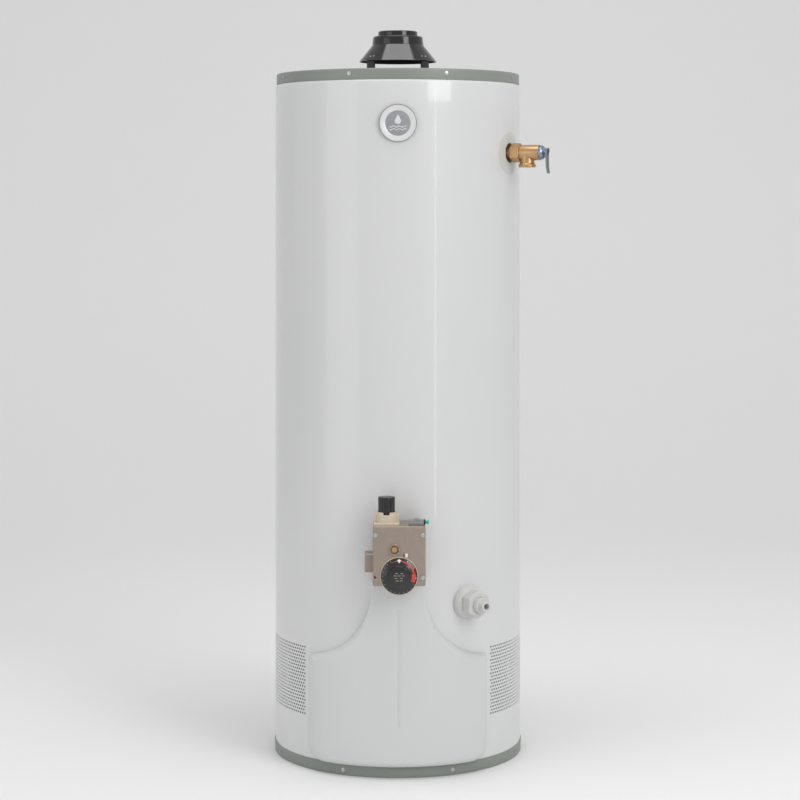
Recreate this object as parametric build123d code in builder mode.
from build123d import *
import os
from math import cos, radians, sin

os.makedirs("parts", exist_ok=True)

# Tank water heater. Millimetres. The origin is where the tank's axis meets the floor.
# +Z is up, the front faces -Y, and an azimuth is counted from the front towards +X.

# ---- driving dimensions ----
JACKET_R = 254.0
SHEET = 1.0
TOTAL_H = 1397.0

BASE_R = 255.3
BASE_H = 22.5
BASE_LEDGE = 14.0
FOOT_INNER_R = 232.0
AIR_HOLE_R = 92.0

TOP_R = 252.0
TOP_SKIRT = 22.0
TOP_EDGE = 4.0
NECK_R = 250.6

TANK_R = 228.0
TANK_WALL = 2.5
SHELL_TOP = 1320.0
HEAD_FLANGE = 30.0
TOP_DOME_H = 26.0
BOTTOM_HEAD_Z = 262.0
BOTTOM_DOME_H = 44.0

FLUE_R = 50.8
FLUE_WALL = 2.4
FLUE_TOP = 1405.0

NIPPLE_X = 101.6
NIPPLE_Y = 55.0
NIPPLE_R = 13.335
NIPPLE_BORE_R = 10.5
NIPPLE_TOP = 1412.0

RELIEF_AZ = 62.8
RELIEF_Z = 1232.0
DRAIN_AZ = 33.1
DRAIN_Z = 339.0

VALVE_X = 2.5
VALVE_W = 102.0
VALVE_LOW = 391.8
VALVE_HIGH = 507.4
VALVE_BACK_Y = -258.0
VALVE_SEAM_Y = -331.0
VALVE_FRONT_Y = -339.0
SPUD_R = 13.335
SPUD_Z = 450.0

DIAL_Z = 412.0
DIAL_R = 35.3
BEZEL_R = 36.8

KNOB_X = -22.0
KNOB_Y = -303.0
KNOB_LOW = 531.0
KNOB_HIGH = 560.0
KNOB_R = 16.5

DOOR_R = 272.6
DOOR_SKIN = 1.2
DOOR_LOW = 22.8
DOOR_TOP = 390.0
DOOR_HALF_W = 177.0
DOOR_NECK_W = 53.0
DOOR_BOTTOM_CORNER = 34.0

HOOD_SKIRT_R = 81.25
HOOD_SKIRT_Z = TOTAL_H + 26.5
HOOD_THROAT_R = 53.3
HOOD_THROAT_Z = TOTAL_H + 61.0
COLLAR_TOP_R = 51.6
COLLAR_TOP_Z = TOTAL_H + 79.5
HOOD_NECK_R = 41.0
HOOD_TOP_Z = TOTAL_H + 90.0
HOOD_SHEET = 0.9


# ---- helpers: planes and repeated operations ----
def radial_plane(azimuth, radius, height):
    """A plane square to the radius at an azimuth: local x runs round the tank, local y is up."""
    turn = radians(azimuth)
    return Plane(
        origin=(radius * sin(turn), -radius * cos(turn), height),
        x_dir=(cos(turn), sin(turn), 0),
        z_dir=(sin(turn), -cos(turn), 0),
    )


def upright_plane(azimuth):
    """The upright plane through the tank's axis at an azimuth: local x runs outwards, local y up."""
    turn = radians(azimuth)
    return Plane(origin=(0, 0, 0), x_dir=(sin(turn), -cos(turn), 0), z_dir=(-cos(turn), -sin(turn), 0))


def turned(points, plane=Plane.XZ, axis=Axis.Z, arc=360.0, mode=Mode.ADD):
    """Turns a closed profile of (radius, height) points about an axis, into the part being built."""
    with BuildSketch(plane) as section:
        with BuildLine():
            Polyline(*points, close=True)
        make_face()
    revolve(section.sketch, axis=axis, revolution_arc=arc, mode=mode)


def round_steps(azimuth, height, steps, mode=Mode.ADD):
    """Round steps along a radial axis: each is (start from the tank's axis, length, radius)."""
    for start, length, radius in steps:
        with BuildSketch(radial_plane(azimuth, start, height)) as section:
            Circle(radius)
        extrude(section.sketch, amount=length, mode=mode)


def hex_step(azimuth, height, start, length, across_flats):
    """A hexagonal step along a radial axis."""
    with BuildSketch(radial_plane(azimuth, start, height)) as section:
        RegularPolygon(across_flats / 2, 6, major_radius=False)
    extrude(section.sketch, amount=length)


def disc(plane, radius, length, mode=Mode.ADD):
    """A round boss or hole of a length, from a plane along its normal."""
    with BuildSketch(plane) as section:
        Circle(radius)
    extrude(section.sketch, amount=length, mode=mode)


def block(plane, width, height, length, corner=0.0, mode=Mode.ADD):
    """A rectangular block from a plane along its normal, with rounded corners where asked."""
    with BuildSketch(plane) as section:
        if corner:
            RectangleRounded(width, height, corner)
        else:
            Rectangle(width, height)
    extrude(section.sketch, amount=length, mode=mode)


def bent_tube(points, radii, radius):
    """A round tube along straight runs joined by tangent arcs."""
    with BuildLine() as route:
        FilletPolyline(*points, radius=radii)
    start = route.line @ 0
    with BuildSketch(Plane(origin=start, z_dir=route.line % 0)) as section:
        Circle(radius)
    sweep(section.sketch, path=route.line)


def save(part, label):
    """Names a finished piece and writes it."""
    part.label = label
    export_step(part, f"parts/{label}.step")


def level_plane(x, y, z):
    """A level plane whose normal is up."""
    return Plane(origin=(x, y, z), x_dir=(1, 0, 0), z_dir=(0, 0, 1))


def radial_turned(azimuth, height, points, mode=Mode.ADD):
    """Turns a closed profile of (distance from the tank's axis, radius) points about a radial axis."""
    turn = radians(azimuth)
    outwards = (sin(turn), -cos(turn), 0)
    section_plane = Plane(origin=(0, 0, height), x_dir=outwards, z_dir=(-cos(turn), -sin(turn), 0))
    turned(points, plane=section_plane, axis=Axis((0, 0, height), outwards), mode=mode)


def front_plane(x, y, z):
    """A plane facing the front: local x runs right, local y is up, and the normal is -Y."""
    return Plane(origin=(x, y, z), x_dir=(1, 0, 0), z_dir=(0, -1, 0))


# ---- base pan: a ring that stands on a flat foot, with a ledge floor for the burner compartment ----
with BuildPart() as base_pan:
    turned([
        (BASE_R, 0), (BASE_R, BASE_H), (BASE_R - SHEET, BASE_H), (BASE_R - SHEET, SHEET * 1.5),
        (FOOT_INNER_R + SHEET, SHEET * 1.5), (FOOT_INNER_R + SHEET, BASE_LEDGE + SHEET),
        (AIR_HOLE_R, BASE_LEDGE + SHEET), (AIR_HOLE_R, BASE_LEDGE), (FOOT_INNER_R, BASE_LEDGE),
        (FOOT_INNER_R, 0),
    ])
save(base_pan.part, "base_pan")

PAN_SCREW_R = 4.2
PAN_SCREW_HEAD = 2.4
BASE_SCREW_Z = 10.5
BASE_SCREW_AZ = (25.0, 69.5, 115.0, 158.0)
with BuildPart() as base_screws:
    for azimuth in BASE_SCREW_AZ:
        for side in (-1, 1):
            round_steps(side * azimuth, BASE_SCREW_Z, [
                (BASE_R - 6.0, 6.2, 1.6), (BASE_R, PAN_SCREW_HEAD, PAN_SCREW_R),
            ])
save(base_screws.part, "base_screws")

# ---- jacket: the outer wrap, necked in at its top so that it slips inside the top pan ----
JACKET_LOW = 3.0
SHOULDER_Z = TOTAL_H - TOP_SKIRT - 2.4
NECK_TOP_Z = TOTAL_H - 4.0
DOOR_OPENING_W = 250.0
DOOR_OPENING = (34.0, 222.0)
SPUD_HOLE_R = 17.0
with BuildPart() as jacket:
    turned([
        (JACKET_R, JACKET_LOW), (JACKET_R, SHOULDER_Z), (NECK_R, SHOULDER_Z + 2.0), (NECK_R, NECK_TOP_Z),
        (NECK_R - SHEET, NECK_TOP_Z), (NECK_R - SHEET, SHOULDER_Z + 1.5),
        (JACKET_R - SHEET, SHOULDER_Z - 0.5),
        (JACKET_R - SHEET, JACKET_LOW),
    ])
    block(
        front_plane(0, -150, (DOOR_OPENING[0] + DOOR_OPENING[1]) / 2), DOOR_OPENING_W,
        DOOR_OPENING[1] - DOOR_OPENING[0], 150, corner=10, mode=Mode.SUBTRACT,
    )
    disc(front_plane(VALVE_X, -200, SPUD_Z), SPUD_HOLE_R, 100, mode=Mode.SUBTRACT)
    round_steps(RELIEF_AZ, RELIEF_Z, [(240, 30, 22.0)], mode=Mode.SUBTRACT)
    round_steps(DRAIN_AZ, DRAIN_Z, [(240, 30, 20.0)], mode=Mode.SUBTRACT)
save(jacket.part, "jacket")

# ---- top pan: a shallow cap with holes for the flue, the water nipples and the anode ----
ANODE_Y = 130.0
with BuildPart() as top_pan:
    turned([
        (TOP_R, TOTAL_H - TOP_SKIRT), (TOP_R, TOTAL_H - TOP_EDGE), (TOP_R - 1.2, TOTAL_H - 1.2),
        (TOP_R - TOP_EDGE, TOTAL_H), (FLUE_R + 3, TOTAL_H), (FLUE_R + 3, TOTAL_H - SHEET),
        (TOP_R - TOP_EDGE, TOTAL_H - SHEET), (TOP_R - SHEET, TOTAL_H - TOP_EDGE),
        (TOP_R - SHEET, TOTAL_H - TOP_SKIRT),
    ])
    for side in (-1, 1):
        disc(level_plane(side * NIPPLE_X, NIPPLE_Y, TOTAL_H - 3), NIPPLE_R + 3, 6, mode=Mode.SUBTRACT)
    disc(level_plane(0, ANODE_Y, TOTAL_H - 3), 20, 6, mode=Mode.SUBTRACT)
save(top_pan.part, "top_pan")

TOP_SCREW_Z = TOTAL_H - 10.0
with BuildPart() as top_screws:
    for index in range(8):
        round_steps(22.5 + 45 * index, TOP_SCREW_Z, [
            (TOP_R - 2.4, 2.6, 1.6), (TOP_R, PAN_SCREW_HEAD, PAN_SCREW_R),
        ])
save(top_screws.part, "top_screws")

# ---- pressure vessel: a welded shell whose skirt is also the burner compartment's wall ----
SKIRT_FOOT_Z = BASE_LEDGE + SHEET
FIRE_OPENING_W = 156.0
FIRE_OPENING = (50.0, 186.0)
with BuildPart() as tank_shell:
    turned([
        (TANK_R, SKIRT_FOOT_Z), (TANK_R, SHELL_TOP), (TANK_R - TANK_WALL, SHELL_TOP),
        (TANK_R - TANK_WALL, SKIRT_FOOT_Z),
    ])
    block(
        front_plane(0, -150, (FIRE_OPENING[0] + FIRE_OPENING[1]) / 2), FIRE_OPENING_W,
        FIRE_OPENING[1] - FIRE_OPENING[0], 120, corner=8, mode=Mode.SUBTRACT,
    )
    disc(front_plane(VALVE_X, -180, SPUD_Z), SPUD_R, 80, mode=Mode.SUBTRACT)
    round_steps(RELIEF_AZ, RELIEF_Z, [(200, 40, SPUD_R)], mode=Mode.SUBTRACT)
    round_steps(DRAIN_AZ, DRAIN_Z, [(200, 40, SPUD_R)], mode=Mode.SUBTRACT)
save(tank_shell.part, "tank_shell")

HEAD_R = TANK_R - TANK_WALL - 0.1
FLUE_HOLE_R = FLUE_R + 0.1


def dished_head(flange_low, crown_z, bulge):
    """A flanged head whose dish rises from the flange to a hole for the flue."""
    flange_high = flange_low + HEAD_FLANGE
    middle_r = (HEAD_R + FLUE_HOLE_R) / 2
    middle_z = (flange_high + crown_z) / 2 + bulge
    with BuildSketch(Plane.XZ) as section:
        with BuildLine():
            Line((HEAD_R, flange_low), (HEAD_R, flange_high))
            ThreePointArc((HEAD_R, flange_high), (middle_r, middle_z), (FLUE_HOLE_R, crown_z))
            Line((FLUE_HOLE_R, crown_z), (FLUE_HOLE_R, crown_z - TANK_WALL))
            ThreePointArc(
                (FLUE_HOLE_R, crown_z - TANK_WALL), (middle_r, middle_z - TANK_WALL),
                (HEAD_R - TANK_WALL, flange_high),
            )
            Line((HEAD_R - TANK_WALL, flange_high), (HEAD_R - TANK_WALL, flange_low))
            Line((HEAD_R - TANK_WALL, flange_low), (HEAD_R, flange_low))
        make_face()
    revolve(section.sketch, axis=Axis.Z)


TOP_CROWN_Z = SHELL_TOP + TOP_DOME_H
with BuildPart() as tank_top_head:
    dished_head(SHELL_TOP - HEAD_FLANGE - 4, TOP_CROWN_Z, 12)
    for side in (-1, 1):
        disc(level_plane(side * NIPPLE_X, NIPPLE_Y, SHELL_TOP - 30), NIPPLE_R, 80, mode=Mode.SUBTRACT)
    disc(level_plane(0, ANODE_Y, SHELL_TOP - 30), NIPPLE_R, 80, mode=Mode.SUBTRACT)
save(tank_top_head.part, "tank_top_head")

with BuildPart() as tank_bottom_head:
    dished_head(BOTTOM_HEAD_Z, BOTTOM_HEAD_Z + HEAD_FLANGE + BOTTOM_DOME_H, 10)
save(tank_bottom_head.part, "tank_bottom_head")

FLUE_LOW = BOTTOM_HEAD_Z + HEAD_FLANGE + BOTTOM_DOME_H - 12
with BuildPart() as flue_tube:
    turned([
        (FLUE_R, FLUE_LOW), (FLUE_R, FLUE_TOP), (FLUE_R - FLUE_WALL, FLUE_TOP),
        (FLUE_R - FLUE_WALL, FLUE_LOW),
    ])
save(flue_tube.part, "flue_tube")

BAFFLE_HALF_W = 26.0
BAFFLE_SWING = 24.0
BAFFLE_PITCH = 42.0
BAFFLE_TURNS = 23
BAFFLE_LOW = FLUE_LOW + 60
with BuildPart() as flue_baffle:
    with BuildSketch(Plane.XZ) as zigzag:
        with BuildLine():
            Polyline([
                (BAFFLE_SWING * (-1) ** bend, BAFFLE_LOW + BAFFLE_PITCH * bend)
                for bend in range(BAFFLE_TURNS)
            ])
        trace(line_width=1.6)
    extrude(zigzag.sketch, amount=BAFFLE_HALF_W, both=True)
save(flue_baffle.part, "flue_baffle")

# ---- foam: fills the space between the shell and the jacket, and caps the tank ----
FOAM_LOW = 300.0
FOAM_R = JACKET_R - SHEET - 0.2
FOAM_CAP_R = NECK_R - SHEET - 0.2
FOAM_TOP = TOTAL_H - SHEET - 0.2
FOAM_CAP_LOW = TOP_CROWN_Z + 12
with BuildPart() as foam_insulation:
    turned([
        (TANK_R + 0.1, FOAM_LOW), (FOAM_R, FOAM_LOW), (FOAM_R, SHOULDER_Z - 2), (FOAM_CAP_R, SHOULDER_Z + 1),
        (FOAM_CAP_R, NECK_TOP_Z), (TOP_R - TOP_EDGE - 4, FOAM_TOP), (FLUE_R + 4, FOAM_TOP),
        (FLUE_R + 4, FOAM_CAP_LOW), (TANK_R + 0.1, FOAM_CAP_LOW),
    ])
    for side in (-1, 1):
        disc(level_plane(side * NIPPLE_X, NIPPLE_Y, 1300), NIPPLE_R + 1, 100, mode=Mode.SUBTRACT)
    disc(level_plane(0, ANODE_Y, 1300), 20, 100, mode=Mode.SUBTRACT)
    disc(front_plane(VALVE_X, -180, SPUD_Z), SPUD_R + 1, 80, mode=Mode.SUBTRACT)
    round_steps(RELIEF_AZ, RELIEF_Z, [(200, 60, 22.0)], mode=Mode.SUBTRACT)
    round_steps(DRAIN_AZ, DRAIN_Z, [(200, 60, 20.0)], mode=Mode.SUBTRACT)
save(foam_insulation.part, "foam_insulation")

# ---- water side: nipples, dip tube and anode ----
NIPPLE_LOW = 1285.0


def water_nipple(x):
    """A pipe nipple standing in the top head, with its threaded end above the pan."""
    disc(level_plane(x, NIPPLE_Y, NIPPLE_LOW), NIPPLE_R - 0.2, NIPPLE_TOP - NIPPLE_LOW)
    disc(level_plane(x, NIPPLE_Y, TOTAL_H), NIPPLE_R, NIPPLE_TOP - TOTAL_H)
    disc(level_plane(x, NIPPLE_Y, NIPPLE_LOW), NIPPLE_BORE_R, NIPPLE_TOP - NIPPLE_LOW, mode=Mode.SUBTRACT)


with BuildPart() as cold_inlet_nipple:
    water_nipple(NIPPLE_X)
save(cold_inlet_nipple.part, "cold_inlet_nipple")

with BuildPart() as hot_outlet_nipple:
    water_nipple(-NIPPLE_X)
save(hot_outlet_nipple.part, "hot_outlet_nipple")

DIP_LOW = 370.0
DIP_TOP = 1396.0
DIP_R = 9.5
with BuildPart() as dip_tube:
    disc(level_plane(NIPPLE_X, NIPPLE_Y, DIP_LOW), DIP_R, DIP_TOP - DIP_LOW)
    disc(level_plane(NIPPLE_X, NIPPLE_Y, DIP_TOP - 3), NIPPLE_BORE_R - 0.2, 3)
    disc(level_plane(NIPPLE_X, NIPPLE_Y, DIP_LOW), DIP_R - 1.5, DIP_TOP - DIP_LOW, mode=Mode.SUBTRACT)
save(dip_tube.part, "dip_tube")

ANODE_LOW = 460.0
ANODE_THREAD_TOP = TOTAL_H - 2
ANODE_HEX_H = 12.0
with BuildPart() as anode_rod:
    disc(level_plane(0, ANODE_Y, ANODE_LOW), 10.5, 1340 - ANODE_LOW)
    disc(level_plane(0, ANODE_Y, 1310), NIPPLE_R - 0.1, ANODE_THREAD_TOP - 1310)
    with BuildSketch(level_plane(0, ANODE_Y, ANODE_THREAD_TOP)) as hexagon:
        RegularPolygon(13.5, 6, major_radius=False)
    extrude(hexagon.sketch, amount=ANODE_HEX_H)
save(anode_rod.part, "anode_rod")

# ---- temperature and pressure relief valve, on a radial axis ----
SPUD_END_AT = 222.0
RELIEF_NECK = (261.0, 281.0)
RELIEF_HEX = 34.0
RELIEF_BARREL_R = 15.75
RELIEF_BARREL_END = 323.0
RELIEF_OUTLET_AT = 294.0
RELIEF_OUTLET_R = 17.35
RELIEF_OUTLET_DROP = 29.5
RELIEF_OUTLET_BORE_R = 11.9
OUTLET_THREAD = 20.0
RELIEF_BORE_R = 9.0
RELIEF_CAP_END = 331.5
LEVER_PIN_AT = 336.0
LEVER_PIN_Z = RELIEF_Z + 4.4
LEVER_LOW_Z = RELIEF_Z - 42.0
EAR_GAP = 5.6
PIN_R = 1.5
with BuildPart() as relief_valve_body:
    round_steps(RELIEF_AZ, RELIEF_Z, [
        (SPUD_END_AT, RELIEF_NECK[0] - SPUD_END_AT, SPUD_R - 0.1),
        (RELIEF_NECK[1], RELIEF_BARREL_END - RELIEF_NECK[1], RELIEF_BARREL_R),
    ])
    hex_step(RELIEF_AZ, RELIEF_Z, RELIEF_NECK[0], RELIEF_NECK[1] - RELIEF_NECK[0], RELIEF_HEX)
    outlet_at = radial_plane(RELIEF_AZ, RELIEF_OUTLET_AT, RELIEF_Z).origin
    outlet_mouth = level_plane(outlet_at.X, outlet_at.Y, RELIEF_Z - RELIEF_OUTLET_DROP)
    disc(outlet_mouth, RELIEF_OUTLET_R, RELIEF_OUTLET_DROP)
    round_steps(RELIEF_AZ, RELIEF_Z, [
        (SPUD_END_AT, RELIEF_BARREL_END - SPUD_END_AT, RELIEF_BORE_R),
    ], mode=Mode.SUBTRACT)
    disc(outlet_mouth, RELIEF_OUTLET_BORE_R, OUTLET_THREAD, mode=Mode.SUBTRACT)
    disc(outlet_mouth, RELIEF_OUTLET_BORE_R - 4, RELIEF_OUTLET_DROP, mode=Mode.SUBTRACT)
save(relief_valve_body.part, "relief_valve_body")

PROBE_LOW = 110.0
with BuildPart() as relief_probe:
    round_steps(RELIEF_AZ, RELIEF_Z, [(PROBE_LOW, 226 - PROBE_LOW, 5.5), (222, 6, RELIEF_BORE_R - 0.1)])
save(relief_probe.part, "relief_probe")

STEM_R = 2.4
SEAT_AT = 262.0
SPRING_COIL_R = 6.2
SPRING_WIRE_R = 1.0
SPRING_FROM = 271.0
SPRING_TO = 321.0
with BuildPart() as relief_stem:
    round_steps(RELIEF_AZ, RELIEF_Z, [(SEAT_AT, 3, RELIEF_BORE_R - 0.6), (SEAT_AT + 3, 73, STEM_R)])
save(relief_stem.part, "relief_stem")

with BuildPart() as relief_spring:
    with BuildLine() as coil:
        start_plane = radial_plane(RELIEF_AZ, SPRING_FROM + SPRING_WIRE_R, RELIEF_Z)
        Helix(
            pitch=6.5, height=SPRING_TO - SPRING_FROM - 2 * SPRING_WIRE_R, radius=SPRING_COIL_R,
            center=start_plane.origin, direction=start_plane.z_dir,
        )
    with BuildSketch(Plane(origin=coil.line @ 0, z_dir=coil.line % 0)) as wire:
        Circle(SPRING_WIRE_R)
    sweep(wire.sketch, path=coil.line, is_frenet=True)
save(relief_spring.part, "relief_spring")

with BuildPart() as relief_valve_cap:
    round_steps(RELIEF_AZ, RELIEF_Z, [(RELIEF_BARREL_END, RELIEF_CAP_END - RELIEF_BARREL_END, 14.0)])
    for side in (-1, 1):
        ear = radial_plane(RELIEF_AZ, RELIEF_CAP_END, LEVER_PIN_Z)
        ear_origin = ear.origin + ear.x_dir * (side * (EAR_GAP + 0.8))
        block(Plane(origin=ear_origin, x_dir=ear.x_dir, z_dir=ear.z_dir), 1.6, 9, 8.5)
    round_steps(RELIEF_AZ, RELIEF_Z, [(RELIEF_BARREL_END - 1, 12, STEM_R + 0.5)], mode=Mode.SUBTRACT)
    pin_plane = radial_plane(RELIEF_AZ, LEVER_PIN_AT, LEVER_PIN_Z)
    disc(
        Plane(origin=pin_plane.origin - pin_plane.x_dir * 12, z_dir=pin_plane.x_dir), PIN_R + 0.05, 24,
        mode=Mode.SUBTRACT,
    )
save(relief_valve_cap.part, "relief_valve_cap")

with BuildPart() as lever_pin:
    disc(Plane(origin=pin_plane.origin - pin_plane.x_dir * 8, z_dir=pin_plane.x_dir), PIN_R, 16)
save(lever_pin.part, "lever_pin")

LEVER_HALF_W = 5.0
LEVER_BARREL_R = 4.1
LEVER_SLOT_HALF_W = 3.3
with BuildPart() as relief_lever:
    across = upright_plane(RELIEF_AZ)
    with BuildSketch(across) as side_view:
        with BuildLine():
            Polyline(
                (LEVER_PIN_AT - 2.5, LEVER_PIN_Z - 3), (LEVER_PIN_AT - 2, LEVER_PIN_Z),
                (LEVER_PIN_AT + 3.8, LEVER_PIN_Z), (LEVER_PIN_AT + 3.4, LEVER_PIN_Z - 14),
                (LEVER_PIN_AT + 4, LEVER_LOW_Z + 12), (LEVER_PIN_AT + 6, LEVER_LOW_Z),
                (LEVER_PIN_AT + 3.4, LEVER_LOW_Z), (LEVER_PIN_AT + 0.9, LEVER_LOW_Z + 12),
                (LEVER_PIN_AT - 0.5, LEVER_PIN_Z - 14), close=True,
            )
        make_face()
        with Locations((LEVER_PIN_AT, LEVER_PIN_Z)):
            Circle(LEVER_BARREL_R)
        with Locations((LEVER_PIN_AT, LEVER_PIN_Z)):
            Circle(PIN_R + 0.3, mode=Mode.SUBTRACT)
    extrude(side_view.sketch, amount=LEVER_HALF_W, both=True)
    with BuildSketch(across) as slot_view:
        with Locations((LEVER_PIN_AT, LEVER_PIN_Z)):
            Rectangle(20, 20)
    extrude(slot_view.sketch, amount=LEVER_SLOT_HALF_W, both=True, mode=Mode.SUBTRACT)
save(relief_lever.part, "relief_lever")

SEAL_R = 43.0
SEAL_HOLE_R = 20.0
SEAL_THICK = 1.6
with BuildPart() as relief_seal_ring:
    round_steps(RELIEF_AZ, RELIEF_Z, [(240, 30, SEAL_R)])
    round_steps(RELIEF_AZ, RELIEF_Z, [(240, 30, SEAL_HOLE_R)], mode=Mode.SUBTRACT)
    turned([
        (JACKET_R + 0.05, RELIEF_Z - 100), (JACKET_R + SEAL_THICK, RELIEF_Z - 100),
        (JACKET_R + SEAL_THICK, RELIEF_Z + 100), (JACKET_R + 0.05, RELIEF_Z + 100),
    ], mode=Mode.INTERSECT)
save(relief_seal_ring.part, "relief_seal_ring")

# ---- drain valve, on a radial axis ----
DRAIN_BOSS_R = 15.0
DRAIN_BOSS_END = JACKET_R + 52
DRAIN_TIP_R = 10.3
DRAIN_TIP_END = JACKET_R + 65
DRAIN_BORE_R = 6.0
HANDLE_FROM = JACKET_R + 17
HANDLE_TO = JACKET_R + 40
HANDLE_FLATS = 48.0
with BuildPart() as drain_valve_body:
    round_steps(DRAIN_AZ, DRAIN_Z, [
        (214, 58, SPUD_R - 0.1), (272, DRAIN_BOSS_END - 272, DRAIN_BOSS_R),
        (DRAIN_BOSS_END, DRAIN_TIP_END - DRAIN_BOSS_END, DRAIN_TIP_R),
    ])
    round_steps(DRAIN_AZ, DRAIN_Z, [(220, DRAIN_TIP_END - 220, DRAIN_BORE_R)], mode=Mode.SUBTRACT)
save(drain_valve_body.part, "drain_valve_body")

with BuildPart() as drain_handle:
    hex_step(DRAIN_AZ, DRAIN_Z, HANDLE_FROM, HANDLE_TO - HANDLE_FROM, HANDLE_FLATS)
    chamfer(edges().filter_by(GeomType.LINE).group_by(Edge.length)[0], 2.0)
    round_steps(DRAIN_AZ, DRAIN_Z, [(HANDLE_FROM - 1, 40, DRAIN_BOSS_R + 0.35)], mode=Mode.SUBTRACT)
save(drain_handle.part, "drain_handle")

with BuildPart() as drain_escutcheon:
    radial_turned(DRAIN_AZ, DRAIN_Z, [
        (240, 16), (HANDLE_FROM - 1, 16), (HANDLE_FROM - 1, 24), (HANDLE_FROM - 5, 30), (JACKET_R + 4, 34),
        (240, 34),
    ])
    turned([(0, 300), (JACKET_R + 0.05, 300), (JACKET_R + 0.05, 380), (0, 380)], mode=Mode.SUBTRACT)
save(drain_escutcheon.part, "drain_escutcheon")

# ---- gas control valve: a hollow casting closed by a front cover ----
VALVE_H = VALVE_HIGH - VALVE_LOW
VALVE_MID_Z = (VALVE_HIGH + VALVE_LOW) / 2
VALVE_LEFT = VALVE_X - VALVE_W / 2
VALVE_CORNER = 5.0
CAVITY_DEPTH = 40.0
INLET_Y = -300.0
INLET_Z = 433.5
INLET_BORE_R = 10.3
INLET_PROUD = 16.0
KNOB_STEM_R = 4.0
KNOB_PRESS = 4.0
KNOB_WELL_LOW = 478.0
MANIFOLD_X = 0.0
PILOT_X = -15.0
THERMOCOUPLE_X = -26.0
IGNITER_LEAD_X = 30.0
LEAD_Y = -263.6
MANIFOLD_R = 6.35
PILOT_TUBE_R = 3.175
THERMOCOUPLE_R = 2.0
IGNITER_LEAD_R = 1.6
PORT_GAP = 0.1
LEADS = (
    (MANIFOLD_X, MANIFOLD_R), (PILOT_X, PILOT_TUBE_R), (THERMOCOUPLE_X, THERMOCOUPLE_R),
    (IGNITER_LEAD_X, IGNITER_LEAD_R),
)
with BuildPart() as gas_valve_body:
    block(
        front_plane(VALVE_X, VALVE_BACK_Y, VALVE_MID_Z), VALVE_W, VALVE_H, VALVE_BACK_Y - VALVE_SEAM_Y,
        corner=VALVE_CORNER,
    )
    block(
        Plane(origin=(VALVE_LEFT + 4, INLET_Y, INLET_Z), x_dir=(0, 1, 0), z_dir=(-1, 0, 0)), 42, 37,
        INLET_PROUD + 4, corner=6,
    )
    disc(Plane(origin=(VALVE_X, VALVE_BACK_Y, SPUD_Z), z_dir=(0, 1, 0)), SPUD_R - 0.1, 36)
    block(
        front_plane(VALVE_X, VALVE_SEAM_Y + CAVITY_DEPTH, 468), VALVE_W - 16, 44, CAVITY_DEPTH, corner=4,
        mode=Mode.SUBTRACT,
    )
    disc(
        Plane(origin=(VALVE_LEFT - INLET_PROUD, INLET_Y, INLET_Z), z_dir=(1, 0, 0)), INLET_BORE_R, 30,
        mode=Mode.SUBTRACT,
    )
    disc(level_plane(KNOB_X, KNOB_Y, KNOB_WELL_LOW), KNOB_STEM_R + 0.3, 40, mode=Mode.SUBTRACT)
    disc(front_plane(VALVE_X, VALVE_SEAM_Y + 20, DIAL_Z), 3.4, 20, mode=Mode.SUBTRACT)
    for lead_x, lead_r in LEADS:
        disc(level_plane(lead_x, LEAD_Y, VALVE_LOW - 1), lead_r + PORT_GAP, 10, mode=Mode.SUBTRACT)
save(gas_valve_body.part, "gas_valve_body")

TEST_PORT = (-6.5, 462.6)
SCREW_X = (-43.0, 47.5)
SCREW_Z = (409.0, 490.6)
with BuildPart() as gas_valve_cover:
    block(
        front_plane(VALVE_X, VALVE_SEAM_Y, VALVE_MID_Z), VALVE_W, VALVE_H, VALVE_SEAM_Y - VALVE_FRONT_Y,
        corner=VALVE_CORNER,
    )
    chamfer(faces().sort_by(Axis.Y)[0].edges(), 1.8)
    disc(front_plane(TEST_PORT[0], VALVE_FRONT_Y, TEST_PORT[1]), 11.2, 3)
    disc(front_plane(TEST_PORT[0], VALVE_FRONT_Y - 3, TEST_PORT[1]), 8.6, -6, mode=Mode.SUBTRACT)
    block(front_plane(11.5, VALVE_FRONT_Y + 3, 451.5), 3.2, 8, 4, mode=Mode.SUBTRACT)
    disc(front_plane(VALVE_X, VALVE_SEAM_Y + 1, DIAL_Z), 3.4, 12, mode=Mode.SUBTRACT)
    for x in SCREW_X:
        for z in SCREW_Z:
            disc(front_plane(x, VALVE_SEAM_Y + 1, z), 2.2, 12, mode=Mode.SUBTRACT)
save(gas_valve_cover.part, "gas_valve_cover")

with BuildPart() as test_port_plug:
    disc(front_plane(TEST_PORT[0], VALVE_FRONT_Y + 3, TEST_PORT[1]), 5.6, 3.6)
    disc(front_plane(TEST_PORT[0], VALVE_FRONT_Y + 1, TEST_PORT[1]), 1.6, 4, mode=Mode.SUBTRACT)
save(test_port_plug.part, "test_port_plug")

with BuildPart() as valve_screws:
    for x in SCREW_X:
        for z in SCREW_Z:
            disc(front_plane(x, VALVE_FRONT_Y, z), 4.3, 2.6)
            disc(front_plane(x, VALVE_SEAM_Y + 8, z), 2.1, VALVE_SEAM_Y - VALVE_FRONT_Y + 8)
save(valve_screws.part, "valve_screws")

with BuildPart() as thermostat_probe:
    disc(Plane(origin=(VALVE_X, VALVE_BACK_Y + 36, SPUD_Z), z_dir=(0, 1, 0)), 5.5, 120)
save(thermostat_probe.part, "thermostat_probe")

# ---- temperature dial and its fixed index ----
BEZEL_FRONT_Y = VALVE_FRONT_Y - 2.0
DIAL_BACK_Y = BEZEL_FRONT_Y - 0.4
with BuildPart() as dial_bezel:
    disc(front_plane(VALVE_X, VALVE_FRONT_Y, DIAL_Z), BEZEL_R, 2)
    disc(front_plane(VALVE_X, VALVE_FRONT_Y + 1, DIAL_Z), 3.4, 6, mode=Mode.SUBTRACT)
save(dial_bezel.part, "dial_bezel")

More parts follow.
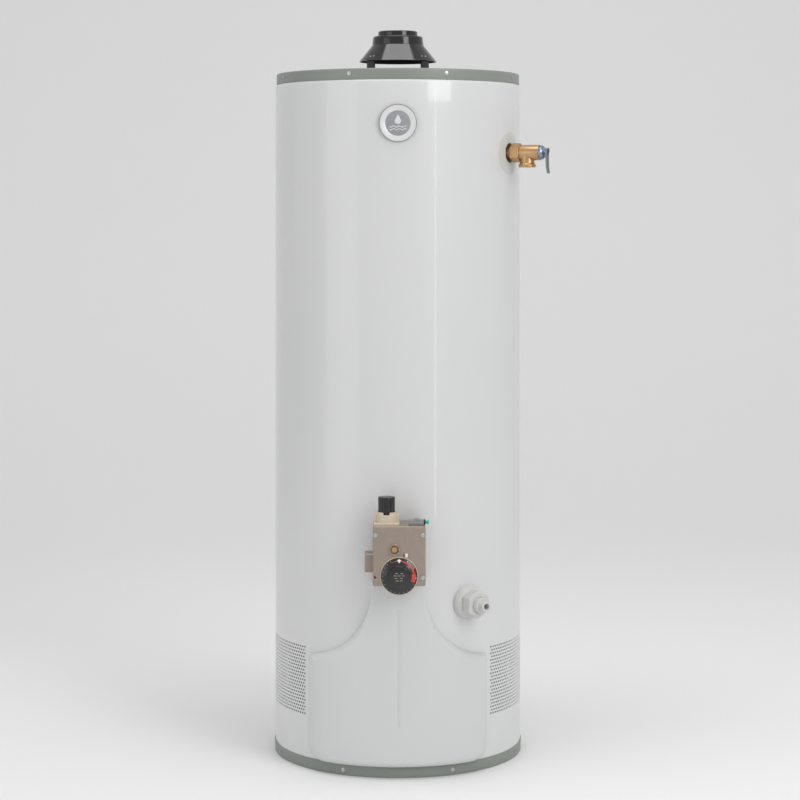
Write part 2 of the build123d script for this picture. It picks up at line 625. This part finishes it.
DIAL_PROFILE = [
    (0, DIAL_BACK_Y), (DIAL_R, DIAL_BACK_Y), (DIAL_R, DIAL_BACK_Y - 1.5), (DIAL_R - 1, DIAL_BACK_Y - 2.5),
    (22.5, DIAL_BACK_Y - 7), (21.5, DIAL_BACK_Y - 7), (20.5, DIAL_BACK_Y - 11.5), (19.5, DIAL_BACK_Y - 12.5),
    (0, DIAL_BACK_Y - 12.5),
]
with BuildPart() as temperature_dial:
    turned(
        DIAL_PROFILE, plane=level_plane(VALVE_X, 0, DIAL_Z), axis=Axis((VALVE_X, 0, DIAL_Z), (0, 1, 0)),
    )
    disc(front_plane(VALVE_X, VALVE_SEAM_Y + 16, DIAL_Z), 3.0, 30)
save(temperature_dial.part, "temperature_dial")

with BuildPart() as dial_index:
    block(front_plane(16.6, VALVE_FRONT_Y, 451.5), 5, 7.5, 2.5, corner=1)
save(dial_index.part, "dial_index")

# ---- gas knob: it presses down against a spring and turns in a raised collar ----
COLLAR_WELL_Z = 516.0
COLLAR_R = 20.0
COLLAR_BORE_R = 17.4
with BuildPart() as knob_collar:
    block(level_plane(KNOB_X, KNOB_Y, VALVE_HIGH), 50, 46, 3.6, corner=5)
    disc(level_plane(KNOB_X, KNOB_Y, VALVE_HIGH), COLLAR_R, KNOB_LOW - VALVE_HIGH)
    for side in (-1, 1):
        block(level_plane(KNOB_X + side * 20.5, KNOB_Y, VALVE_HIGH), 6, 9, 19)
    disc(level_plane(KNOB_X, KNOB_Y, COLLAR_WELL_Z), COLLAR_BORE_R, 30, mode=Mode.SUBTRACT)
    disc(level_plane(KNOB_X, KNOB_Y, VALVE_HIGH - 1), KNOB_STEM_R + 0.3, 30, mode=Mode.SUBTRACT)
    block(front_plane(KNOB_X, KNOB_Y - 10, KNOB_LOW), 12, 9, 20, mode=Mode.SUBTRACT)
save(knob_collar.part, "knob_collar")

KNOB_STEM_LOW = KNOB_WELL_LOW + KNOB_PRESS + 2
KNOB_STEM_TOP = KNOB_HIGH - 5
with BuildPart() as gas_knob_stem:
    disc(level_plane(KNOB_X, KNOB_Y, KNOB_STEM_LOW), KNOB_STEM_R, KNOB_STEM_TOP - KNOB_STEM_LOW)
save(gas_knob_stem.part, "gas_knob_stem")

FLUTES = 12
FLUTE_R = 1.5
with BuildPart() as gas_knob:
    disc(level_plane(KNOB_X, KNOB_Y, KNOB_LOW), KNOB_R, KNOB_HIGH - KNOB_LOW)
    chamfer(faces().sort_by(Axis.Z)[-1].edges(), 1.2)
    with BuildSketch(level_plane(KNOB_X, KNOB_Y, KNOB_LOW)) as flutes:
        with PolarLocations(KNOB_R + 0.4, FLUTES, start_angle=360 / FLUTES / 2):
            Circle(FLUTE_R)
    extrude(flutes.sketch, amount=KNOB_HIGH - KNOB_LOW, mode=Mode.SUBTRACT)
    block(level_plane(KNOB_X, KNOB_Y - 12, KNOB_LOW - 9), 7, 7, 22)
    disc(level_plane(KNOB_X, KNOB_Y, KNOB_LOW - 1), KNOB_STEM_R + 0.05, 25, mode=Mode.SUBTRACT)
save(gas_knob.part, "gas_knob")

# ---- piezo igniter: a push button at the right end of a housing clipped to the valve's top ----
IGNITER_X = (21.0, 50.0)
IGNITER_Z = 513.0
IGNITER_Y = -318.0
IGNITER_H = 10.0
BUTTON_STEM_R = 3.0
BUTTON_PRESS = 3.5
BUTTON_END = 60.0
BUTTON_R = 4.4
COLLAR_LENGTH = 3.4
BUTTON_BACK = IGNITER_X[1] + COLLAR_LENGTH + BUTTON_PRESS + 0.4


def igniter_plane(x, side=1):
    """A plane across the igniter's axis: its normal points right, or left with a side of -1."""
    return Plane(origin=(x, IGNITER_Y, IGNITER_Z), z_dir=(side, 0, 0))


with BuildPart() as igniter_body:
    block(
        level_plane((IGNITER_X[0] + IGNITER_X[1]) / 2, IGNITER_Y, IGNITER_Z - IGNITER_H / 2),
        IGNITER_X[1] - IGNITER_X[0], 12, IGNITER_H, corner=1.5,
    )
    disc(igniter_plane(IGNITER_X[1], -1), BUTTON_STEM_R + 0.3, 16, mode=Mode.SUBTRACT)
save(igniter_body.part, "igniter_body")

with BuildPart() as igniter_collar:
    disc(igniter_plane(IGNITER_X[1]), 5.4, COLLAR_LENGTH)
    disc(igniter_plane(IGNITER_X[1] - 1), BUTTON_STEM_R + 0.3, 6, mode=Mode.SUBTRACT)
save(igniter_collar.part, "igniter_collar")

with BuildPart() as igniter_button:
    disc(igniter_plane(IGNITER_X[1] - 9), BUTTON_STEM_R, 17)
    disc(igniter_plane(BUTTON_BACK), BUTTON_R, BUTTON_END - BUTTON_BACK)
save(igniter_button.part, "igniter_button")

with BuildPart() as igniter_clip:
    block(level_plane(37, IGNITER_Y, IGNITER_Z + IGNITER_H / 2), 12, 15, 0.9)
    block(level_plane(37, IGNITER_Y + 6.9, VALVE_HIGH), 12, 1.2, IGNITER_Z + IGNITER_H / 2 - VALVE_HIGH)
    disc(level_plane(37, IGNITER_Y, IGNITER_Z + IGNITER_H / 2), 2.6, 2.6)
save(igniter_clip.part, "igniter_clip")

# ---- tubes and leads: down from the valve in front of the jacket, then back into the burner compartment ----
MANIFOLD_Z = 72.0
PILOT_Z = 104.0
THERMOCOUPLE_Z = 112.0
LEAD_START_Z = VALVE_LOW + 6
MANIFOLD_END_Y = -158.0
PILOT_END_Y = -118.0
MANIFOLD_BEND = 32.0
LEAD_BEND = 26.0


def lead(x, drop_z, end_y, bend, radius):
    """A tube from the valve's underside down to a height, then straight back to its end."""
    bent_tube([(x, LEAD_Y, LEAD_START_Z), (x, LEAD_Y, drop_z), (x, end_y, drop_z)], bend, radius)


with BuildPart() as manifold_tube:
    lead(MANIFOLD_X, MANIFOLD_Z, MANIFOLD_END_Y, MANIFOLD_BEND, MANIFOLD_R)
save(manifold_tube.part, "manifold_tube")

with BuildPart() as pilot_tube:
    lead(PILOT_X, PILOT_Z, PILOT_END_Y, LEAD_BEND, PILOT_TUBE_R)
save(pilot_tube.part, "pilot_tube")

with BuildPart() as thermocouple_lead:
    lead(THERMOCOUPLE_X, THERMOCOUPLE_Z, PILOT_END_Y, LEAD_BEND, THERMOCOUPLE_R)
save(thermocouple_lead.part, "thermocouple_lead")

with BuildPart() as igniter_lead:
    lead(IGNITER_LEAD_X, PILOT_Z, PILOT_END_Y, LEAD_BEND, IGNITER_LEAD_R)
save(igniter_lead.part, "igniter_lead")

# ---- burner and pilot ----
BURNER_R = 88.0
BURNER_LOW = 60.0
BURNER_HIGH = 86.0
BURNER_PORTS = 24
MIXER_R = 15.0
with BuildPart() as burner:
    turned([
        (0, BURNER_LOW), (70, BURNER_LOW), (BURNER_R, 72), (BURNER_R, 80), (70, BURNER_HIGH), (0, BURNER_HIGH),
    ])
    disc(front_plane(0, -70, MANIFOLD_Z), MIXER_R, 80)
    disc(front_plane(0, -72, MANIFOLD_Z), MIXER_R - 1.5, 90, mode=Mode.SUBTRACT)
    turned(
        [(0, BURNER_LOW + 1.5), (69, BURNER_LOW + 1.5), (BURNER_R - 1.5, 73), (BURNER_R - 1.5, 79),
         (69, BURNER_HIGH - 1.5), (0, BURNER_HIGH - 1.5)], mode=Mode.SUBTRACT,
    )
    for index in range(BURNER_PORTS):
        azimuth = 180 + (index + 0.5) * 360 / BURNER_PORTS
        round_steps(azimuth, 76, [(BURNER_R - 6, 12, 2.5)], mode=Mode.SUBTRACT)
    for index in range(3):
        foot = radial_plane(60 + 120 * index, 55, SKIRT_FOOT_Z).origin
        disc(level_plane(foot.X, foot.Y, SKIRT_FOOT_Z + 4.2), 3, BURNER_LOW + 1 - SKIRT_FOOT_Z - 4.2)
save(burner.part, "burner")

with BuildPart() as pilot_assembly:
    block(level_plane(4, PILOT_END_Y + 9, 96), 84, 16, 24, corner=3)
    disc(level_plane(-8, PILOT_END_Y + 9, 118), 5, 12)
save(pilot_assembly.part, "pilot_assembly")

ARRESTOR_RINGS = 4
ARRESTOR_HOLE_R = 3.5
with BuildPart() as flame_arrestor:
    disc(level_plane(0, 0, SKIRT_FOOT_Z), AIR_HOLE_R + 14, 4)
    with BuildSketch(level_plane(0, 0, SKIRT_FOOT_Z)) as ports:
        for ring in range(ARRESTOR_RINGS):
            with PolarLocations(18 + 20 * ring, 6 * (ring + 1)):
                Circle(ARRESTOR_HOLE_R)
    extrude(ports.sketch, amount=4, mode=Mode.SUBTRACT)
save(flame_arrestor.part, "flame_arrestor")

# ---- inner door: closes the burner compartment and carries the tubes through it ----
INNER_DOOR_W = 196.0
INNER_DOOR = (38.0, 198.0)
GASKET_FRAME = 16.0
GASKET_R = (TANK_R + 0.05, TANK_R + 2.5)
INNER_DOOR_R = (TANK_R + 2.6, TANK_R + 4.2)
SIGHT_AZ = 12.0
SIGHT_Z = 160.0
INNER_MID_Z = (INNER_DOOR[0] + INNER_DOOR[1]) / 2
INNER_H = INNER_DOOR[1] - INNER_DOOR[0]


def shell_band(inner_r, outer_r):
    """Keeps only what lies between two radii, low on the tank."""
    turned([(inner_r, 0), (outer_r, 0), (outer_r, 420), (inner_r, 420)], mode=Mode.INTERSECT)


with BuildPart() as inner_door_gasket:
    block(front_plane(0, -150, INNER_MID_Z), INNER_DOOR_W, INNER_H, 120, corner=10)
    block(
        front_plane(0, -140, INNER_MID_Z), INNER_DOOR_W - 2 * GASKET_FRAME, INNER_H - 2 * GASKET_FRAME, 140,
        corner=6, mode=Mode.SUBTRACT,
    )
    shell_band(*GASKET_R)
save(inner_door_gasket.part, "inner_door_gasket")

INNER_SCREW_AZ = 22.5
with BuildPart() as inner_door:
    block(front_plane(0, -150, INNER_MID_Z), INNER_DOOR_W, INNER_H, 120, corner=10)
    shell_band(*INNER_DOOR_R)
    for lead_x, lead_r, lead_z in (
        (MANIFOLD_X, MANIFOLD_R, MANIFOLD_Z), (PILOT_X, PILOT_TUBE_R, PILOT_Z),
        (THERMOCOUPLE_X, THERMOCOUPLE_R, THERMOCOUPLE_Z), (IGNITER_LEAD_X, IGNITER_LEAD_R, PILOT_Z),
    ):
        disc(front_plane(lead_x, -200, lead_z), lead_r + 0.6, 60, mode=Mode.SUBTRACT)
    round_steps(SIGHT_AZ, SIGHT_Z, [(200, 60, 11.0)], mode=Mode.SUBTRACT)
save(inner_door.part, "inner_door")

with BuildPart() as sight_glass:
    round_steps(SIGHT_AZ, SIGHT_Z, [(200, 60, 14.5)])
    shell_band(INNER_DOOR_R[1] + 0.05, INNER_DOOR_R[1] + 3)
save(sight_glass.part, "sight_glass")

with BuildPart() as inner_door_screws:
    for side in (-1, 1):
        for height in (INNER_DOOR[0] + 10, INNER_DOOR[1] - 10):
            round_steps(side * INNER_SCREW_AZ, height, [
                (TANK_R - 6, 11, 2.0), (INNER_DOOR_R[1] + 0.1, 3, 5.0),
            ])
save(inner_door_screws.part, "inner_door_screws")

# ---- outer door: a curved pressed cover with a broad foot and a neck that reaches the valve ----
NECK_STRAIGHT_Z = 370.0
SHOULDER_R = 139.3
SHOULDER_CORNER_R = 12.0
DIAL_NOTCH_R = BEZEL_R + 3.2
GROOVE_LOW = 102.0
GROOVE_HIGH = 336.0
GROOVE_W = 5.0
GROOVE_DEPTH = 0.5
DOOR_BACK_R = JACKET_R + 0.5


def shoulder_z(x):
    """The height of the concave shoulder at a distance from the centre line."""
    return NECK_STRAIGHT_Z - (SHOULDER_R**2 - (x - DOOR_NECK_W - SHOULDER_R) ** 2) ** 0.5


def door_outline():
    """Half of the door's front outline, mirrored, as a face on the front plane."""
    with BuildSketch(Plane.XZ) as outline:
        middle_x = (DOOR_NECK_W + DOOR_HALF_W) / 2 - 25
        with BuildLine():
            Polyline(
                (DOOR_HALF_W, shoulder_z(DOOR_HALF_W)), (DOOR_HALF_W, DOOR_LOW), (0, DOOR_LOW), (0, DOOR_TOP),
                (DOOR_NECK_W, DOOR_TOP), (DOOR_NECK_W, NECK_STRAIGHT_Z),
            )
            ThreePointArc(
                (DOOR_NECK_W, NECK_STRAIGHT_Z), (middle_x, shoulder_z(middle_x)),
                (DOOR_HALF_W, shoulder_z(DOOR_HALF_W)),
            )
        make_face()
        outer = outline.vertices().group_by(Axis.X)[-1].sort_by(Axis.Y)
        fillet(outer[0], DOOR_BOTTOM_CORNER)
        shoulder = outline.vertices().sort_by_distance(Vector(DOOR_HALF_W, shoulder_z(DOOR_HALF_W), 0))[0]
        fillet(shoulder, SHOULDER_CORNER_R)
        mirror(about=Plane.YZ)
    return outline.sketch


with BuildPart() as door_hollow:
    with BuildSketch(Plane.XZ) as inner_outline:
        add(door_outline())
        offset(amount=-DOOR_SKIN)
    extrude(inner_outline.sketch, amount=320)
    shell_band(JACKET_R - 40, DOOR_R - DOOR_SKIN)

with BuildPart() as outer_door:
    extrude(door_outline(), amount=320)
    shell_band(DOOR_BACK_R, DOOR_R)
    add(door_hollow.part, mode=Mode.SUBTRACT)
    groove_y = GROOVE_DEPTH - DOOR_R
    block(
        front_plane(0, groove_y, (GROOVE_LOW + GROOVE_HIGH) / 2), GROOVE_W, GROOVE_HIGH - GROOVE_LOW, 5,
        corner=GROOVE_W / 2 - 0.1, mode=Mode.SUBTRACT,
    )
    disc(front_plane(VALVE_X, -200, DIAL_Z), DIAL_NOTCH_R, 120, mode=Mode.SUBTRACT)
save(outer_door.part, "outer_door")

# ---- draft hood: a flared skirt on legs, a collar and a neck for the vent pipe ----
LIP_R = 6.0
HOOD_PROFILE = [
    (HOOD_SKIRT_R, HOOD_SKIRT_Z), (HOOD_THROAT_R, HOOD_THROAT_Z), (COLLAR_TOP_R, COLLAR_TOP_Z - 4),
    (COLLAR_TOP_R - 4, COLLAR_TOP_Z), (HOOD_NECK_R, COLLAR_TOP_Z), (HOOD_NECK_R, HOOD_TOP_Z - 3.5),
    (HOOD_NECK_R - 3.5, HOOD_TOP_Z), (HOOD_NECK_R - LIP_R, HOOD_TOP_Z),
    (HOOD_NECK_R - LIP_R, HOOD_TOP_Z - HOOD_SHEET), (HOOD_NECK_R - 3.9, HOOD_TOP_Z - HOOD_SHEET),
    (HOOD_NECK_R - HOOD_SHEET, HOOD_TOP_Z - 3.9), (HOOD_NECK_R - HOOD_SHEET, COLLAR_TOP_Z - HOOD_SHEET),
    (COLLAR_TOP_R - 4.4, COLLAR_TOP_Z - HOOD_SHEET), (COLLAR_TOP_R - HOOD_SHEET, COLLAR_TOP_Z - 4.4),
    (HOOD_THROAT_R - HOOD_SHEET, HOOD_THROAT_Z + 0.3), (HOOD_SKIRT_R - 1.2, HOOD_SKIRT_Z),
]
with BuildPart() as draft_hood:
    turned(HOOD_PROFILE)
save(draft_hood.part, "draft_hood")

LEG_AZ = (46.0, 134.0, 226.0, 314.0)
LEG_R = 79.0
LEG_SHEET = 1.2
LEG_ARC = 16.0
LEG_TAB = 9.0
TAB_RISE = 16.0
SLOPE_R = HOOD_SKIRT_R - HOOD_THROAT_R
SLOPE_Z = HOOD_THROAT_Z - HOOD_SKIRT_Z


def leg_profile():
    """A bent strap: a foot tab on the pan, an upright, and a tab under the hood's skirt."""
    knee = HOOD_SKIRT_Z - 1.5
    back = TAB_RISE * SLOPE_R / SLOPE_Z
    return [
        (LEG_R + LEG_TAB, TOTAL_H), (LEG_R - LEG_SHEET, TOTAL_H), (LEG_R - LEG_SHEET, knee),
        (LEG_R - LEG_SHEET - back, knee + TAB_RISE), (LEG_R - back + 0.2, knee + TAB_RISE), (LEG_R, knee),
        (LEG_R, TOTAL_H + LEG_SHEET), (LEG_R + LEG_TAB, TOTAL_H + LEG_SHEET),
    ]


with BuildPart() as hood_legs:
    for azimuth in LEG_AZ:
        turned(leg_profile(), plane=upright_plane(azimuth - LEG_ARC / 2), arc=LEG_ARC)
save(hood_legs.part, "hood_legs")

RIVET_Z = HOOD_SKIRT_Z + 9.0
with BuildPart() as hood_rivets:
    for azimuth in LEG_AZ:
        for side in (-1, 1):
            round_steps(azimuth + side * 4, RIVET_Z, [(70, 6.0, 1.8)])
save(hood_rivets.part, "hood_rivets")

# ---- badge on the upper front: a dished ring round a medallion ----
BADGE_Z = 1288.0
BADGE_R = 37.0
MEDALLION_R = 24.5
with BuildPart() as badge_ring:
    disc(front_plane(0, -200, BADGE_Z), BADGE_R, 58)
    disc(front_plane(0, -200, BADGE_Z), MEDALLION_R + 0.2, 60, mode=Mode.SUBTRACT)
    turned([(0, 1200), (JACKET_R + 0.05, 1200), (JACKET_R + 0.05, 1360), (0, 1360)], mode=Mode.SUBTRACT)
save(badge_ring.part, "badge_ring")

with BuildPart() as badge_medallion:
    disc(front_plane(0, -200, BADGE_Z), MEDALLION_R, 56.6)
    turned([(0, 1200), (JACKET_R + 0.05, 1200), (JACKET_R + 0.05, 1360), (0, 1360)], mode=Mode.SUBTRACT)
save(badge_medallion.part, "badge_medallion")
